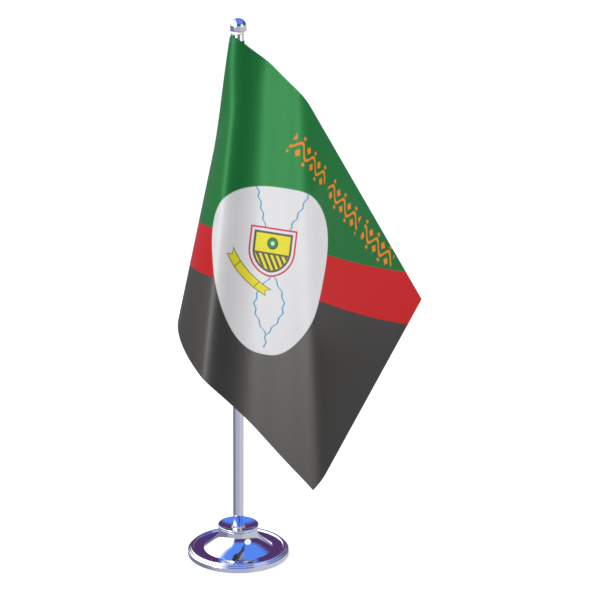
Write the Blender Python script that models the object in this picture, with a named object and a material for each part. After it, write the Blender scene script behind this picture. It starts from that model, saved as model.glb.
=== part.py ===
"""Desk flag stand: a chromed base with ballast, a plug-in pole, a push-in finial and a hanging satin flag.

Metres, +Z up. The origin is on the table, under the middle of the pole. -Y is the stand's front.
"""

import math

import bmesh
import bpy
import numpy as np
from mathutils import Matrix, Vector

MM = 0.001

# Fits between neighbouring pieces
REST_GAP = 0.3 * MM  # between faces that rest on each other
SNUG_GAP = 0.12 * MM  # around a plug, shank or spigot in its hole
RUN_GAP = 0.12 * MM  # around the pole, where it slides or turns

# Spun shell of the base
FOOT_R = 29.0 * MM
RIM_TOP_Z = 5.0 * MM
RIM_LIFT = 0.5 * MM  # the felt holds the metal rim this far off the table
RIM_STEP = 0.8 * MM  # each step of the rim, inwards and upwards
RIM_BEAD = 1.6 * MM
SHELL_WALL = 1.0 * MM
INNER_CHAMFER = 0.3 * MM
FLANGE_Z = 4.2 * MM
BELL_FOOT_R = 19.8 * MM
NECK_R = 10.6 * MM
NECK_Z = 16.2 * MM

# Closing plate and felt under the shell
PLATE_T = 0.8 * MM
FELT_T = 1.0 * MM
FELT_INSET = 1.4 * MM

# Socket cup on top of the bell, with its threaded shank
CUP_R = 11.6 * MM
CUP_LIP_H = 1.8 * MM
DISH_DEPTH = 1.9 * MM
DISH_LIP = 0.6 * MM
SPIGOT_H = 2.0 * MM
SHANK_R = 6.0 * MM
SOCKET_DEPTH = 11.0 * MM

# Ballast and its clamp
BALLAST_CLEAR = 0.5 * MM
NUT_FLATS = 18.0 * MM
NUT_T = 4.0 * MM
NUT_CHAMFER = 0.8 * MM
WASHER_RIM = 0.6 * MM  # how far the washer reaches past the nut's corners
WASHER_T = 1.0 * MM
CLAMP_POCKET_CLEAR = 0.6 * MM

# Pole, and what is plugged into it
POLE_R = 3.0 * MM
POLE_WALL = 0.5 * MM
POLE_TOP_Z = 297.6 * MM
BUSH_WALL = 0.9 * MM
BUSH_SINK = 0.1 * MM  # how far the bush's end lies under the dish
PLUG_HEAD_T = 0.8 * MM
PLUG_DEPTH = 9.0 * MM

# Finial
FINIAL_R = 4.35 * MM
FINIAL_H = 6.9 * MM
FINIAL_EDGE = 0.3 * MM
PIN_R = 1.1 * MM
PIN_DEPTH = 7.0 * MM
PIN_IN_CAP = 4.0 * MM

# Flag, as it is cut: from the sleeve's seam to the fly edge, and down the hoist
FLAG_W = 196.0 * MM
FLAG_H = 150.0 * MM
CLOTH_T = 0.6 * MM
SLEEVE_T = 0.4 * MM
SLEEVE_TOP_DROP = 1.5 * MM

# How it hangs. The cloth bends only along straight lines that fan out of the top of the hoist.
# Angles in the cloth are measured from the hoist, headings from +X as seen from above.
SEAM_HEADING = 202.0  # side of the sleeve that carries the seam
SEAM_REACH = 26.0 * MM  # how far into the cloth the seam's place is felt
HOIST_HEADING = 84.0  # the way the cloth sets off from the seam
FOLD_ANGLE = 35.8  # the cone of cloth behind and beside the pole
HANG_ANGLE = 45.4  # the line in the cloth that hangs straight down in front
DRAPE_RUN = 48.4 * MM  # stretch of the top edge where the fan opens to that angle
# Turning rate in degrees per stretch, at even steps along it, anticlockwise from above
FOLD_TURNS = (94, 433, 165, 102)
DRAPE_TURNS = (556, -97, -131, 24, 31, -412)

FLAG_COLUMNS = 34
FLAG_ROWS = 20
FLAG_CROWDING_ACROSS = 1.4  # 1 is even steps; more puts the columns closer together near the seam
FLAG_CROWDING_DOWN = 1.2
RULING_STEPS = 60

ROUND_STEPS = 44
SMALL_ROUND_STEPS = 28
ARC_STEPS = 2
FLANK_STEPS = 8
DISH_STEPS = 6
DOME_STEPS = 8
NUT_STEPS = 24

CHROME = ("chrome", (0.86, 0.87, 0.92), 1.0, 0.05)
IRON = ("cast_iron", (0.09, 0.09, 0.10), 0.6, 0.7)
STEEL = ("zinc_steel", (0.62, 0.62, 0.60), 1.0, 0.35)
NYLON = ("nylon", (0.85, 0.84, 0.80), 0.0, 0.45)
BLACK_STEEL = ("black_plate", (0.03, 0.03, 0.035), 0.4, 0.5)
FELT = ("felt", (0.02, 0.05, 0.03), 0.0, 1.0)
SATIN = ("satin", (0.01, 0.15, 0.04), 0.0, 0.5)


# ---------------------------------------------------------------- helpers


def clear_scene():
    for obj in list(bpy.data.objects):
        bpy.data.objects.remove(obj, do_unlink=True)


def material(name, colour, metallic, roughness):
    found = bpy.data.materials.get(name)
    if found:
        return found
    made = bpy.data.materials.new(name)
    made.use_nodes = True
    shader = made.node_tree.nodes["Principled BSDF"]
    shader.inputs["Base Color"].default_value = (*colour, 1.0)
    shader.inputs["Metallic"].default_value = metallic
    shader.inputs["Roughness"].default_value = roughness
    return made


def add_object(name, bm, finish, parent=None, smooth=True):
    """One named solid from a bmesh, with its faces pointing out."""
    bmesh.ops.recalc_face_normals(bm, faces=bm.faces)
    mesh = bpy.data.meshes.new(name)
    bm.to_mesh(mesh)
    bm.free()
    if smooth:
        mesh.shade_smooth()
        mesh.set_sharp_from_angle(angle=math.radians(35.0))
    obj = bpy.data.objects.new(name, mesh)
    obj.data.materials.append(material(*finish))
    bpy.context.scene.collection.objects.link(obj)
    if parent:
        obj.parent = parent
    return obj


def add_empty(name, location):
    """A joint's axis, which carries the pieces that move on it."""
    empty = bpy.data.objects.new(name, None)
    empty.location = location
    bpy.context.scene.collection.objects.link(empty)
    return empty


def rounded(corners):
    """A profile from (r, z, radius) corners: each corner with a radius becomes an arc of that radius."""
    points = []
    count = len(corners)
    for i, (r, z, radius) in enumerate(corners):
        here = Vector((r, z))
        if radius == 0.0:
            points.append((r, z))
            continue
        before = Vector(corners[i - 1][:2]) - here
        after = Vector(corners[(i + 1) % count][:2]) - here
        half = before.angle(after) / 2.0
        reach = radius / math.tan(half)
        centre = here + (before.normalized() + after.normalized()).normalized() * radius / math.sin(half)
        start = here + before.normalized() * reach - centre
        end = here + after.normalized() * reach - centre
        sweep = start.angle_signed(end)
        for step in range(ARC_STEPS + 1):
            turn = Matrix.Rotation(-sweep * step / ARC_STEPS, 2)
            points.append(tuple(centre + turn @ start))
    return points


def turned(name, profile, finish, steps=ROUND_STEPS, parent=None):
    """A closed (r, z) profile turned about the Z axis. Points at r = 0 lie on the axis."""
    bm = bmesh.new()
    rings = []
    for r, z in profile:
        if r == 0.0:
            rings.append([bm.verts.new((0.0, 0.0, z))] * steps)
            continue
        angles = [2.0 * math.pi * k / steps for k in range(steps)]
        rings.append([bm.verts.new((r * math.cos(a), r * math.sin(a), z)) for a in angles])
    for ring, following in zip(rings, rings[1:] + rings[:1]):
        for k in range(steps):
            quad = [ring[k], ring[(k + 1) % steps], following[(k + 1) % steps], following[k]]
            corners = list(dict.fromkeys(quad))
            if len(corners) > 2:
                bm.faces.new(corners)
    return add_object(name, bm, finish, parent)


def tube(name, inner, outer, low, high, finish, edge=0.0, steps=ROUND_STEPS, parent=None):
    """A straight ring with its four edges rounded by edge."""
    corners = [(inner, low, edge), (outer, low, edge), (outer, high, edge), (inner, high, edge)]
    return turned(name, rounded(corners), finish, steps, parent)


def disc(name, radius, low, high, finish, edge=0.0, steps=ROUND_STEPS, parent=None):
    corners = [(0.0, low, 0.0), (radius, low, edge), (radius, high, edge), (0.0, high, 0.0)]
    return turned(name, rounded(corners), finish, steps, parent)


# ---------------------------------------------------------------- base


def bell_flank(inset):
    """The bell's flank from the neck down to its foot, moved inwards by inset: a cubic curve and its normals."""
    top = Vector((NECK_R, NECK_Z))
    foot = Vector((BELL_FOOT_R, FLANGE_Z))
    drop = NECK_Z - FLANGE_Z
    pull_top = top - Vector((0.0, 0.4 * drop))
    pull_foot = foot - Vector((0.74 * (BELL_FOOT_R - NECK_R), -0.39 * drop))
    points = []
    for step in range(FLANK_STEPS + 1):
        t = step / FLANK_STEPS
        s = 1.0 - t
        place = s**3 * top + 3 * s * s * t * pull_top + 3 * s * t * t * pull_foot + t**3 * foot
        along = s * s * (pull_top - top) + 2 * s * t * (pull_foot - pull_top) + t * t * (foot - pull_foot)
        inwards = Vector((along.y, -along.x)).normalized()
        points.append(place + inwards * inset)
    return points


def rim_inner_r():
    return FOOT_R - SHELL_WALL - RIM_STEP


def build_shell():
    """The spun shell: a thin wall from the neck, over the bell and the flat flange, to the stepped rim."""
    flank = bell_flank(0.0)
    under = bell_flank(SHELL_WALL)
    flange_under = FLANGE_Z - SHELL_WALL
    bead_out = FOOT_R - 2.0 * RIM_STEP
    bead_in = bead_out - RIM_BEAD
    outside = [(p.x, p.y) for p in flank]
    outside += rounded(
        [
            (BELL_FOOT_R, FLANGE_Z, 0.0),
            (bead_in, FLANGE_Z, 0.2 * MM),
            (bead_in, RIM_TOP_Z, 0.35 * MM),
            (bead_out, RIM_TOP_Z, 0.5 * MM),
            (bead_out, RIM_TOP_Z - RIM_STEP, 0.0),
            (FOOT_R - RIM_STEP, RIM_TOP_Z - RIM_STEP, 0.3 * MM),
            (FOOT_R - RIM_STEP, RIM_TOP_Z - 2.0 * RIM_STEP, 0.0),
            (FOOT_R, RIM_TOP_Z - 2.0 * RIM_STEP, 0.4 * MM),
            (FOOT_R, RIM_LIFT, 0.3 * MM),
            (rim_inner_r(), RIM_LIFT, 0.0),
        ]
    )[1:]
    inside = [(rim_inner_r(), flange_under - INNER_CHAMFER), (rim_inner_r() - INNER_CHAMFER, flange_under)]
    inside += [(p.x, p.y) for p in reversed(under) if p.y > flange_under]
    turned("base_shell", outside + inside, CHROME)


def cup_bottom_z():
    return NECK_Z + REST_GAP


def cup_top_z():
    return cup_bottom_z() + CUP_LIP_H


def dish_z(r):
    """Height of the cup's concave dish at radius r: a circular arc through the lip and the middle."""
    rim_r = CUP_R - DISH_LIP
    arc_r = (rim_r**2 + DISH_DEPTH**2) / (2.0 * DISH_DEPTH)
    return cup_top_z() - DISH_DEPTH + arc_r - math.sqrt(arc_r**2 - r**2)


def bush_inner_r():
    return POLE_R + RUN_GAP


def bush_outer_r():
    return bush_inner_r() + BUSH_WALL


def socket_r():
    return bush_outer_r() + SNUG_GAP


def socket_floor_z():
    return dish_z(socket_r()) - SOCKET_DEPTH


def spigot_bottom_z():
    return NECK_Z - SPIGOT_H


def plate_low_z():
    return FELT_T + REST_GAP


def plate_high_z():
    return plate_low_z() + PLATE_T


def shank_bottom_z():
    return plate_high_z() + REST_GAP


def build_cup():
    """The cup: a dished head, a spigot inside the bell's neck and a shank with the pole's socket in it."""
    spigot_r = NECK_R - SHELL_WALL - SNUG_GAP
    rim_r = CUP_R - DISH_LIP
    dish_rs = [rim_r + (socket_r() - rim_r) * k / DISH_STEPS for k in range(1, DISH_STEPS + 1)]
    outside = rounded(
        [
            (0.0, shank_bottom_z(), 0.0),
            (SHANK_R, shank_bottom_z(), 0.5 * MM),
            (SHANK_R, spigot_bottom_z(), 0.0),
            (spigot_r, spigot_bottom_z(), 0.3 * MM),
            (spigot_r, cup_bottom_z(), 0.0),
            (CUP_R, cup_bottom_z(), 0.7 * MM),
            (CUP_R, cup_top_z(), 0.3 * MM),
            (rim_r, cup_top_z(), 0.2 * MM),
            (dish_rs[0], dish_z(dish_rs[0]), 0.0),
        ]
    )
    dish = [(r, dish_z(r)) for r in dish_rs[1:]]
    floor = [(socket_r(), socket_floor_z()), (0.0, socket_floor_z())]
    turned("socket_cup", outside + dish + floor, CHROME)


def build_bush():
    low = socket_floor_z() + REST_GAP
    high = dish_z(bush_inner_r()) - BUSH_SINK
    tube("socket_bush", bush_inner_r(), bush_outer_r(), low, high, NYLON, 0.0, SMALL_ROUND_STEPS)


def washer_r():
    return NUT_FLATS / math.sqrt(3.0) + WASHER_RIM


def washer_low_z():
    return shank_bottom_z() + REST_GAP + NUT_T + REST_GAP


def build_ballast():
    """A cast ring that fills the bell, hollowed from below for the washer and the nut."""
    inset = SHELL_WALL + BALLAST_CLEAR
    low = plate_high_z() + REST_GAP
    top = spigot_bottom_z() - REST_GAP
    pocket_r = washer_r() + CLAMP_POCKET_CLEAR
    pocket_z = washer_low_z() + WASHER_T + REST_GAP
    bore = SHANK_R + SNUG_GAP
    flank = [p for p in bell_flank(inset) if low + inset / 2.0 < p.y < top]
    outside = [(flank[-1].x, low)] + [(p.x, p.y) for p in reversed(flank)] + [(flank[0].x, top)]
    inside = [(bore, top), (bore, pocket_z), (pocket_r, pocket_z), (pocket_r, low)]
    turned("ballast_ring", outside + inside, IRON)


def build_clamp():
    low = washer_low_z()
    bore = SHANK_R + SNUG_GAP
    tube("clamp_washer", bore, washer_r(), low, low + WASHER_T, STEEL, 0.0, SMALL_ROUND_STEPS)
    build_nut("clamp_nut", bore, NUT_FLATS, shank_bottom_z() + REST_GAP, NUT_T)


def build_nut(name, bore, flats, low, thick):
    """A hexagon with a round bore and its corners chamfered top and bottom."""
    bm = bmesh.new()

    def ring(radius_at, z):
        angles = [2.0 * math.pi * k / NUT_STEPS for k in range(NUT_STEPS)]
        return [bm.verts.new((radius_at(a) * math.cos(a), radius_at(a) * math.sin(a), z)) for a in angles]

    def hexagon(angle):
        sixth = math.pi / 3.0
        return flats / 2.0 / math.cos(angle % sixth - sixth / 2.0)

    def trimmed(angle):
        return min(hexagon(angle), flats / 2.0)

    def hole(_angle):
        return bore

    high = low + thick
    rings = [
        ring(hole, low),
        ring(trimmed, low),
        ring(hexagon, low + NUT_CHAMFER),
        ring(hexagon, high - NUT_CHAMFER),
        ring(trimmed, high),
        ring(hole, high),
    ]
    for here, following in zip(rings, rings[1:] + rings[:1]):
        for k in range(NUT_STEPS):
            after = (k + 1) % NUT_STEPS
            bm.faces.new([here[k], here[after], following[after], following[k]])
    add_object(name, bm, STEEL)


def build_underside():
    disc("bottom_plate", rim_inner_r() - REST_GAP, plate_low_z(), plate_high_z(), BLACK_STEEL)
    disc("felt_pad", rim_inner_r() - FELT_INSET, 0.0, FELT_T, FELT, 0.2 * MM)


# ---------------------------------------------------------------- pole and finial


def pole_seat_z():
    """Lowest point of the pole's foot plug, just above the socket's floor."""
    return socket_floor_z() + REST_GAP


def build_foot_plug(axis):
    """The plug in the pole's lower end, whose head stands on the socket's floor."""
    plug_r = POLE_R - POLE_WALL - SNUG_GAP
    head_top = pole_seat_z() + PLUG_HEAD_T
    corners = [
        (0.0, pole_seat_z(), 0.0),
        (POLE_R, pole_seat_z(), 0.3 * MM),
        (POLE_R, head_top, 0.0),
        (plug_r, head_top, 0.0),
        (plug_r, head_top + PLUG_DEPTH, 0.3 * MM),
        (0.0, head_top + PLUG_DEPTH, 0.0),
    ]
    turned("pole_foot_plug", rounded(corners), NYLON, SMALL_ROUND_STEPS, axis)


def build_pole(axis):
    tube_low = pole_seat_z() + PLUG_HEAD_T + REST_GAP
    tube("pole_tube", POLE_R - POLE_WALL, POLE_R, tube_low, POLE_TOP_Z, CHROME, 0.0, SMALL_ROUND_STEPS, axis)
    plug_r = POLE_R - POLE_WALL - SNUG_GAP
    head_low = POLE_TOP_Z + REST_GAP
    bore = PIN_R + SNUG_GAP
    top = rounded(
        [
            (bore, POLE_TOP_Z - PLUG_DEPTH, 0.0),
            (plug_r, POLE_TOP_Z - PLUG_DEPTH, 0.3 * MM),
            (plug_r, head_low, 0.0),
            (POLE_R, head_low, 0.0),
            (POLE_R, head_low + PLUG_HEAD_T, 0.2 * MM),
            (bore, head_low + PLUG_HEAD_T, 0.0),
        ]
    )
    turned("pole_top_plug", top, NYLON, SMALL_ROUND_STEPS, axis)


def finial_low_z():
    return POLE_TOP_Z + REST_GAP + PLUG_HEAD_T + REST_GAP


def build_finial(axis):
    """A domed cap with a flat underside, and the pin that holds it in the pole's top plug."""
    low = finial_low_z()
    shoulder = low + FINIAL_H - FINIAL_R
    bore = PIN_R + SNUG_GAP
    rises = [math.pi / 2.0 * k / DOME_STEPS for k in range(DOME_STEPS)]
    dome = [(FINIAL_R * math.cos(rise), shoulder + FINIAL_R * math.sin(rise)) for rise in rises]
    skirt = rounded([(bore, low, 0.0), (FINIAL_R, low, FINIAL_EDGE), (FINIAL_R, shoulder, 0.0)])[:-1]
    bore_top = low + PIN_IN_CAP + REST_GAP
    profile = skirt + dome + [(0.0, low + FINIAL_H), (0.0, bore_top), (bore, bore_top)]
    turned("finial_cap", profile, CHROME, SMALL_ROUND_STEPS, axis)
    disc("finial_pin", PIN_R, low - PIN_DEPTH, low + PIN_IN_CAP, STEEL, 0.2 * MM, SMALL_ROUND_STEPS, axis)


# ---------------------------------------------------------------- flag


def sleeve_inner_r():
    return POLE_R + RUN_GAP


def sleeve_outer_r():
    return sleeve_inner_r() + SLEEVE_T


def flag_top_z():
    return POLE_TOP_Z + REST_GAP


def turn_at(turns, share):
    """Turning rate at a share of a stretch, in radians: straight lines between the even steps."""
    return math.radians(np.interp(share, np.linspace(0.0, 1.0, len(turns)), turns))


def flag_rulings():
    """The straight lines that the hanging cloth bends along: where each meets the top edge, its direction,
    its angle in the cloth and its place along the top edge. The cloth isn't stretched: from one line to the
    next it turns about the line, and the line itself turns only within the cloth."""
    down = Vector((0.0, 0.0, -1.0))
    heading = math.radians(HOIST_HEADING)
    across = Vector((math.cos(heading), math.sin(heading), 0.0))
    start = Vector((0.0, 0.0, flag_top_z()))
    angle = 0.0
    edge = 0.0
    rulings = [(start.copy(), down.copy(), angle, edge)]
    fold, hang = math.radians(FOLD_ANGLE), math.radians(HANG_ANGLE)
    stretches = (
        (fold, 0.0, FOLD_TURNS),
        (hang - fold, DRAPE_RUN, DRAPE_TURNS),
        (0.0, FLAG_W - DRAPE_RUN, (0, 0)),
    )
    for fan, run, turns in stretches:
        for step in range(RULING_STEPS):
            bend = turn_at(turns, (step + 0.5) / RULING_STEPS) / RULING_STEPS
            across.rotate(Matrix.Rotation(bend / 2.0, 3, -down))
            middle = angle + fan / RULING_STEPS / 2.0
            start += (down * math.sin(middle) + across * math.cos(middle)) * run / RULING_STEPS
            within = Matrix.Rotation(fan / RULING_STEPS, 3, down.cross(across))
            down.rotate(within)
            across.rotate(within)
            across.rotate(Matrix.Rotation(bend / 2.0, 3, -down))
            angle += fan / RULING_STEPS
            edge += run / RULING_STEPS
            rulings.append((start.copy(), down.copy(), angle, edge))
    return rulings


def flag_row(rulings, v, columns):
    """Points of the hanging cloth at distance v below the top edge, at each of these distances from the seam."""
    reached = [edge + v * math.tan(angle) for _, _, angle, edge in rulings]
    points = np.array([start + down * v / math.cos(angle) for start, down, angle, _ in rulings])
    return np.stack([np.interp(columns, reached, points[:, axis]) for axis in range(3)], axis=1)


def clear_of_sleeve(point, u):
    """Moves a point of the cloth to its seam on the sleeve's side, and keeps the rest outside the sleeve."""
    keep_out = sleeve_outer_r() + REST_GAP + CLOTH_T / 2.0
    share = min(u / SEAM_REACH, 1.0)
    near_seam = 1.0 - share * share * (3.0 - 2.0 * share)
    seam = math.radians(SEAM_HEADING)
    x = point[0] + keep_out * near_seam * math.cos(seam)
    y = point[1] + keep_out * near_seam * math.sin(seam)
    distance = math.hypot(x, y)
    pushed = keep_out if u == 0.0 else (distance**4 + keep_out**4) ** 0.25
    return (x * pushed / distance, y * pushed / distance, point[2])


def build_flag(axis):
    rulings = flag_rulings()
    columns = [FLAG_W * (k / FLAG_COLUMNS) ** FLAG_CROWDING_ACROSS for k in range(FLAG_COLUMNS + 1)]
    bm = bmesh.new()
    grid = []
    for row in range(FLAG_ROWS + 1):
        v = FLAG_H * (row / FLAG_ROWS) ** FLAG_CROWDING_DOWN
        points = flag_row(rulings, v, columns)
        grid.append([bm.verts.new(clear_of_sleeve(p, u)) for p, u in zip(points, columns)])
    for above, below in zip(grid, grid[1:]):
        for k in range(FLAG_COLUMNS):
            bm.faces.new([above[k], below[k], below[k + 1], above[k + 1]])
    flag = add_object("flag_cloth", bm, SATIN, axis)
    thickness = flag.modifiers.new("Cloth", "SOLIDIFY")
    thickness.thickness = CLOTH_T
    thickness.offset = 0.0
    low = flag_top_z() - FLAG_H
    high = flag_top_z() - SLEEVE_TOP_DROP
    tube("hoist_sleeve", sleeve_inner_r(), sleeve_outer_r(), low, high, SATIN, 0.0, SMALL_ROUND_STEPS, axis)


def main():
    clear_scene()
    build_shell()
    build_cup()
    build_bush()
    build_ballast()
    build_clamp()
    build_underside()
    build_foot_plug(add_empty("foot_axis", (0.0, 0.0, 0.0)))
    build_pole(add_empty("pole_axis", (0.0, 0.0, 0.0)))
    build_finial(add_empty("finial_axis", (0.0, 0.0, 0.0)))
    build_flag(add_empty("flag_axis", (0.0, 0.0, 0.0)))


main()
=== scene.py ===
"""Looks of the desk flag stand: fine chrome, satin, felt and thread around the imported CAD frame.

Metres, +Z up, in the CAD's frame: the pole stands on the Z axis and -Y is the front.
"""

import math

import bpy
import numpy as np
from mathutils import Matrix, Vector, noise


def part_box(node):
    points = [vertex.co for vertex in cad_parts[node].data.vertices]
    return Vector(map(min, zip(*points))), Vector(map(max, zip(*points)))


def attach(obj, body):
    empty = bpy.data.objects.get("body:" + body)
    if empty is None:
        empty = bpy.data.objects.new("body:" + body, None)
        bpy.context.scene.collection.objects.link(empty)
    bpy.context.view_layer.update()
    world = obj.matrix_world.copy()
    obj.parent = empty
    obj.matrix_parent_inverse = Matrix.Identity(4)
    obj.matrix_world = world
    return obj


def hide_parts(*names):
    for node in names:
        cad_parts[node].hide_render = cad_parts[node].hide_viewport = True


MM = 0.001

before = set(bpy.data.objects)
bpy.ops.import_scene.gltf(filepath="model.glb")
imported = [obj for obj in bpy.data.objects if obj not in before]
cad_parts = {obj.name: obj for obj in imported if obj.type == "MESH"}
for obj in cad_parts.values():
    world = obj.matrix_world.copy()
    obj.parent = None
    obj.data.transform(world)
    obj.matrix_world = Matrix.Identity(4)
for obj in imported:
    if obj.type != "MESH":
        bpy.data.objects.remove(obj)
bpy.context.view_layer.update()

# Camera: where it stands, how far it tilts down and turns right, and its lens on a 36 mm sensor
CAMERA_PLACE = (0.0, -0.8945, 0.3945)
CAMERA_DOWN = 15.21
CAMERA_RIGHT = 2.11
CAMERA_LENS = 100.44
CAMERA_SENSOR = 36.0

# Spun shell of the base, as the CAD has it
SHELL_WALL = 1.0 * MM
RIM_STEP = 0.8 * MM
RIM_BEAD = 1.6 * MM
FLANGE_Z = 4.2 * MM
BELL_FOOT_R = 19.8 * MM
NECK_R = 10.6 * MM
NECK_Z = 16.2 * MM
# How far the flank's tangents reach at its two ends, as shares of its width and drop
FLANK_PULL_TOP = 0.4
FLANK_PULL_FOOT = (0.74, 0.39)

# Socket cup
CUP_LIP_H = 1.8 * MM
DISH_DEPTH = 1.9 * MM
DISH_LIP = 0.6 * MM
SPIGOT_H = 2.0 * MM
SHANK_R = 6.0 * MM
BUSH_FLOOR_GAP = 0.3 * MM
SNUG_GAP = 0.12 * MM

# Felt sole: how far its edge frays, and the bumps to the metre along it
FELT_FRAYED_W = 1.0 * MM
FELT_FRAY = 0.12 * MM
FELT_SHRINK = 0.1 * MM
FELT_BUMPS = 900.0

# Pole, its two plugs and the finial's cap
TUBE_WALL = 0.5 * MM
TUBE_EDGE = 0.12 * MM
PLUG_HEAD_T = 0.8 * MM
PLUG_RIBS = 4
PLUG_GROOVE = 0.18 * MM
PLUG_CHAMFER = 0.4 * MM
CAP_GROOVE_RISE = 1.0 * MM
CAP_GROOVE_DEPTH = 0.16 * MM
CAP_GROOVE_MOUTH = 0.16 * MM
CAP_GROOVE_BED = 0.06 * MM
PIN_HEADROOM = 0.3 * MM

# Flag, as it is cut and as it hangs: the CAD's curve, but with the last bend eased over EASE_RUN.
# Angles are in degrees. Turns are rates of bend at even steps along a stretch, in degrees a stretch
FLAG_W = 196.0 * MM
FLAG_H = 150.0 * MM
SEAM_HEADING = 202.0
SEAM_REACH = 26.0 * MM
HOIST_HEADING = 84.0
FOLD_ANGLE = 35.8
HANG_ANGLE = 45.4
DRAPE_RUN = 48.4 * MM
EASE_RUN = 12.0 * MM
FOLD_TURNS = (94, 433, 165, 102)
DRAPE_TURNS = (556, -97, -131, 24, 31, -181)
EASE_TURNS = (-48.5, 0)
HOIST_KEEP_OUT = 3.85 * MM  # from the pole's axis to the middle of the cloth at the seam

CLOTH_T = 0.25 * MM
HEM_W = 3.2 * MM
HEM_T = 0.12 * MM
HEM_SOFTNESS = 0.2 * MM
STITCH_PITCH = 2.4 * MM
STITCH_LENGTH = 1.5 * MM
STITCH_R = 0.08 * MM
STITCH_INSET = 2.5 * MM
STITCH_SIDES = 6
STITCH_FLATNESS = 0.7
# Along a stitch, in its length, and its thickness there, in its radius
STITCH_RINGS = ((-0.5, 0.35), (-0.32, 0.85), (0.0, 1.0), (0.32, 0.85), (0.5, 0.35))
CLOTH_STEP = 1.0 * MM
CLOTH_PROBE = 0.5 * MM
RULING_STEPS = 240

FLOOR_HALF = 8.0
FLOOR_DROP = 0.05 * MM

# The sleeve's visible top starts lower than the flag's corner, as the cloth leans over it there
SLEEVE_TOP_DROP = 4.0 * MM
SLEEVE_T = 0.2 * MM
SLEEVE_CLEAR = 0.05 * MM
SLEEVE_SLACK = 0.06 * MM
SLEEVE_PINCH = 0.75 * MM
SLEEVE_PINCH_W = 0.28  # radians
SLEEVE_LEVELS = 60
SLEEVE_STEPS = 72

ROUND_STEPS = 160
SMALL_ROUND_STEPS = 96
FELT_STEPS = 240
ARC_STEPS = 6
FLANK_STEPS = 40
DISH_STEPS = 24
DOME_STEPS = 28


# ---------------------------------------------------------------- shader arithmetic


class Number:
    """A number in a shader graph. Arithmetic on it adds Math nodes, so a pattern reads as a formula."""

    def __init__(self, tree, socket):
        self.tree = tree
        self.socket = socket

    def math(self, operation, *others):
        node = self.tree.nodes.new("ShaderNodeMath")
        node.operation = operation
        for place, value in zip(node.inputs, (self, *others)):
            if isinstance(value, Number):
                self.tree.links.new(value.socket, place)
            else:
                place.default_value = value
        return Number(self.tree, node.outputs[0])

    def __add__(self, other):
        return self.math("ADD", other)

    def __sub__(self, other):
        return self.math("SUBTRACT", other)

    def __mul__(self, other):
        return self.math("MULTIPLY", other)

    def __truediv__(self, other):
        return self.math("DIVIDE", other)

    def __neg__(self):
        return self.math("MULTIPLY", -1.0)

    def power(self, other):
        return self.math("POWER", other)

    def magnitude(self):
        return self.math("ABSOLUTE")

    def least(self, other):
        return self.math("MINIMUM", other)

    def most(self, other):
        return self.math("MAXIMUM", other)

    def sine(self):
        return self.math("SINE")

    def sign(self):
        return self.math("SIGN")

    def wrapped(self, period):
        """The same number moved by whole periods into -period/2 to period/2."""
        return self.math("WRAP", period / 2.0, -period / 2.0)

    def ramp(self, low, high):
        """0 at low and 1 at high, smooth between and level beyond."""
        node = self.tree.nodes.new("ShaderNodeMapRange")
        node.interpolation_type = "SMOOTHSTEP"
        node.inputs["From Min"].default_value = low
        node.inputs["From Max"].default_value = high
        self.tree.links.new(self.socket, node.inputs["Value"])
        return Number(self.tree, node.outputs["Result"])


def length_of(a, b):
    return (a * a + b * b).power(0.5)


def hand(tree, value, socket):
    """Puts a Number, a socket or a plain value on an input."""
    if isinstance(value, Number):
        tree.links.new(value.socket, socket)
    elif isinstance(value, bpy.types.NodeSocket):
        tree.links.new(value, socket)
    else:
        socket.default_value = value


def layered(tree, below, above, share):
    """The colour below, covered by the colour above to that share."""
    mix = tree.nodes.new("ShaderNodeMix")
    mix.data_type = "RGBA"
    hand(tree, share, mix.inputs["Factor"])
    hand(tree, below, mix.inputs[6])
    hand(tree, above, mix.inputs[7])
    return mix.outputs[2]


def named_vector(tree, name):
    """The x and y of a mesh attribute, as Numbers, and the whole vector."""
    attribute = tree.nodes.new("ShaderNodeAttribute")
    attribute.attribute_name = name
    split = tree.nodes.new("ShaderNodeSeparateXYZ")
    tree.links.new(attribute.outputs["Vector"], split.inputs[0])
    return Number(tree, split.outputs[0]), Number(tree, split.outputs[1]), attribute.outputs["Vector"]


def object_place(tree):
    """Position in the row frame. Every piece sits at the origin, so its object coordinates are that."""
    return tree.nodes.new("ShaderNodeTexCoord").outputs["Object"]


def noise_at(tree, place, scale, detail, stretch=(1.0, 1.0, 1.0)):
    """Fractal noise from 0 to 1 with that many bumps to the metre."""
    mapping = tree.nodes.new("ShaderNodeMapping")
    mapping.inputs["Scale"].default_value = stretch
    tree.links.new(place, mapping.inputs["Vector"])
    texture = tree.nodes.new("ShaderNodeTexNoise")
    texture.inputs["Scale"].default_value = scale
    texture.inputs["Detail"].default_value = detail
    tree.links.new(mapping.outputs["Vector"], texture.inputs["Vector"])
    return Number(tree, texture.outputs["Fac"])


def bumped(tree, height, distance, strength):
    """A normal that follows a height from 0 to 1, which stands for that distance in metres."""
    bump = tree.nodes.new("ShaderNodeBump")
    bump.inputs["Strength"].default_value = strength
    bump.inputs["Distance"].default_value = distance
    tree.links.new(height.socket, bump.inputs["Height"])
    return bump.outputs["Normal"]


def srgb(red, green, blue):
    """A linear colour from 0 to 255 display values."""
    linear = []
    for part in (red, green, blue):
        share = part / 255.0
        linear.append(share / 12.92 if share <= 0.04045 else ((share + 0.055) / 1.055) ** 2.4)
    return (*linear, 1.0)


def finish(name, **settings):
    """A material with a Principled BSDF. Settings use its socket names with _ for spaces."""
    made = bpy.data.materials.new(name)
    made.use_nodes = True
    tree = made.node_tree
    shader = tree.nodes["Principled BSDF"]
    for socket, value in settings.items():
        shader.inputs[socket.replace("_", " ")].default_value = value
    return made, tree, shader


# ---------------------------------------------------------------- metal, plastic and felt


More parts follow.
